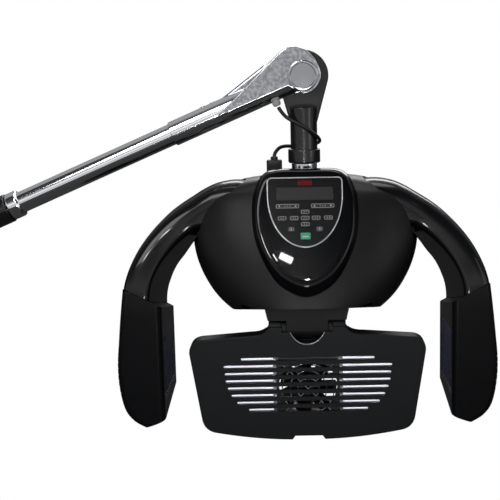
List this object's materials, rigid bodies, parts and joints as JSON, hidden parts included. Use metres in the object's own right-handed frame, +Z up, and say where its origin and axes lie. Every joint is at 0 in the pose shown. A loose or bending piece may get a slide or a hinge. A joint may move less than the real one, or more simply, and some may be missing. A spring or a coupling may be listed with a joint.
{
  "type": "hair color processor",
  "caption": "Infrared hair color processor hanging from a chrome boom, with a domed head, swinging side lamp pods, a slotted tilting centre panel with a fan, and a keypad.",
  "frame": {"origin": "centre of the flat root face of the boom", "axes": "+Z up, +X from the boom's root towards the head, the control panel faces -Y"},
  "size_m": [0.842, 0.2284, 0.5719],
  "materials": {
    "satin_black": "satin moulded plastic and satin paint",
    "gloss_black": "polished",
    "chrome": "polished plating",
    "cast_chrome": "plated casting, slightly uneven",
    "steel": "zinc plated",
    "mirror_sheet": "polished sheet",
    "quartz": "clear quartz tube with end caps",
    "pale_rubber": "matt",
    "black_rubber": "matt",
    "display_glass": "smooth dark window",
    "sensor_red": "smooth dark red window",
    "key_dark": "fine texture",
    "key_green": "satin",
    "board_green": "coated board"
  },
  "bodies": {
    "boom": {"root_plug": "steel", "root_sleeve": "satin_black", "sleeve_collar": "chrome", "boom_tube": "chrome", "boom_knuckle": "cast_chrome", "knuckle_screw_1": "steel", "knuckle_screw_2": "steel", "pivot_bolt": "steel", "pivot_cap": "chrome", "cable_grommet": "pale_rubber"},
    "post": {"post_tube": "satin_black", "post_collar": "satin_black", "pivot_washer": "steel", "lead": "black_rubber"},
    "head": {"swivel_spindle": "chrome", "swivel_washer": "chrome", "head_chassis": "steel", "head_front_shell": "satin_black", "head_rear_shell": "satin_black", "underside_cover": "satin_black", "control_shield": "gloss_black", "control_panel": "gloss_black", "panel_trim": "chrome", "display_window": "display_glass", "sensor_window": "sensor_red", "control_board": "board_green", "lead_plug": "black_rubber", "arm_pin_left": "steel", "arm_pin_right": "steel"},
    "key_timer_down_button": {"key_timer_down": "key_dark"},
    "key_timer_up_button": {"key_timer_up": "key_dark"},
    "key_up_button": {"key_up": "key_dark"},
    "key_down_button": {"key_down": "key_dark"},
    "key_left_button": {"key_left": "key_dark"},
    "key_right_button": {"key_right": "key_dark"},
    "key_centre_button": {"key_centre": "key_dark"},
    "key_mode_left_button": {"key_mode_left": "key_dark"},
    "key_mode_right_button": {"key_mode_right": "key_dark"},
    "key_lamp_button": {"key_lamp": "key_dark"},
    "key_fan_button": {"key_fan": "key_dark"},
    "key_start_button": {"key_start": "key_green"},
    "left_arm": {"arm_shell_left": "satin_black", "pod_shell_left": "satin_black", "pod_reflector_left": "mirror_sheet", "pod_lamp_left": "quartz", "pod_guard_left": "chrome"},
    "right_arm": {"arm_shell_right": "satin_black", "pod_shell_right": "satin_black", "pod_reflector_right": "mirror_sheet", "pod_lamp_right": "quartz", "pod_guard_right": "chrome"},
    "centre_panel": {"panel_front": "satin_black", "panel_back": "satin_black", "panel_reflector": "mirror_sheet", "panel_lamp_upper": "quartz", "panel_lamp_lower": "quartz", "fan_frame": "satin_black", "fan_guard": "chrome", "panel_hinge_pin": "steel"},
    "fan_wheel": {"fan_rotor": "satin_black"}
  },
  "joints": [
    {"name": "boom_pivot", "type": "hinge", "parent": "boom", "child": "post", "pos_m": [0.5523, 0, 0.23444], "axis": [0, 1, 0], "range_deg": [-35, 10], "deforming": ["lead"]},
    {"name": "head_swivel", "type": "hinge", "parent": "post", "child": "head", "pos_m": [0.5523, 0, 0.09944], "axis": [0, 0, 1], "range_deg": [-90, 90], "deforming": ["lead"]},
    {"name": "left_arm_swing", "type": "hinge", "parent": "head", "child": "left_arm", "pos_m": [0.4423, 0, 0.02244], "axis": [0, 1, 0], "range_deg": [0, 22]},
    {"name": "right_arm_swing", "type": "hinge", "parent": "head", "child": "right_arm", "pos_m": [0.6623, 0, 0.02244], "axis": [0, -1, 0], "range_deg": [0, 22]},
    {"name": "panel_tilt", "type": "hinge", "parent": "head", "child": "centre_panel", "pos_m": [0.5523, -0.08, -0.12956], "axis": [1, 0, 0], "range_deg": [-15, 12]},
    {"name": "fan_spin", "type": "hinge", "parent": "centre_panel", "child": "fan_wheel", "pos_m": [0.5523, -0.08, -0.21756], "axis": [0, 1, 0], "continuous": true},
    {"name": "key_timer_down_press", "type": "slide", "parent": "head", "child": "key_timer_down_button", "axis": [0, 0.9272, -0.3746], "range_m": [0, 0.0006], "stiffness_N_per_m": 600, "springref_m": -0.0006},
    {"name": "key_timer_up_press", "type": "slide", "parent": "head", "child": "key_timer_up_button", "axis": [0, 0.9272, -0.3746], "range_m": [0, 0.0006], "stiffness_N_per_m": 600, "springref_m": -0.0006},
    {"name": "key_up_press", "type": "slide", "parent": "head", "child": "key_up_button", "axis": [0, 0.9272, -0.3746], "range_m": [0, 0.0006], "stiffness_N_per_m": 600, "springref_m": -0.0006},
    {"name": "key_down_press", "type": "slide", "parent": "head", "child": "key_down_button", "axis": [0, 0.9272, -0.3746], "range_m": [0, 0.0006], "stiffness_N_per_m": 600, "springref_m": -0.0006},
    {"name": "key_left_press", "type": "slide", "parent": "head", "child": "key_left_button", "axis": [0, 0.9272, -0.3746], "range_m": [0, 0.0006], "stiffness_N_per_m": 600, "springref_m": -0.0006},
    {"name": "key_right_press", "type": "slide", "parent": "head", "child": "key_right_button", "axis": [0, 0.9272, -0.3746], "range_m": [0, 0.0006], "stiffness_N_per_m": 600, "springref_m": -0.0006},
    {"name": "key_centre_press", "type": "slide", "parent": "head", "child": "key_centre_button", "axis": [0, 0.9272, -0.3746], "range_m": [0, 0.0006], "stiffness_N_per_m": 600, "springref_m": -0.0006},
    {"name": "key_mode_left_press", "type": "slide", "parent": "head", "child": "key_mode_left_button", "axis": [0, 0.9272, -0.3746], "range_m": [0, 0.0006], "stiffness_N_per_m": 600, "springref_m": -0.0006},
    {"name": "key_mode_right_press", "type": "slide", "parent": "head", "child": "key_mode_right_button", "axis": [0, 0.9272, -0.3746], "range_m": [0, 0.0006], "stiffness_N_per_m": 600, "springref_m": -0.0006},
    {"name": "key_lamp_press", "type": "slide", "parent": "head", "child": "key_lamp_button", "axis": [0, 0.9272, -0.3746], "range_m": [0, 0.0006], "stiffness_N_per_m": 600, "springref_m": -0.0006},
    {"name": "key_fan_press", "type": "slide", "parent": "head", "child": "key_fan_button", "axis": [0, 0.9272, -0.3746], "range_m": [0, 0.0006], "stiffness_N_per_m": 600, "springref_m": -0.0006},
    {"name": "key_start_press", "type": "slide", "parent": "head", "child": "key_start_button", "axis": [0, 0.9272, -0.3746], "range_m": [0, 0.0006], "stiffness_N_per_m": 600, "springref_m": -0.0006}
  ]
}
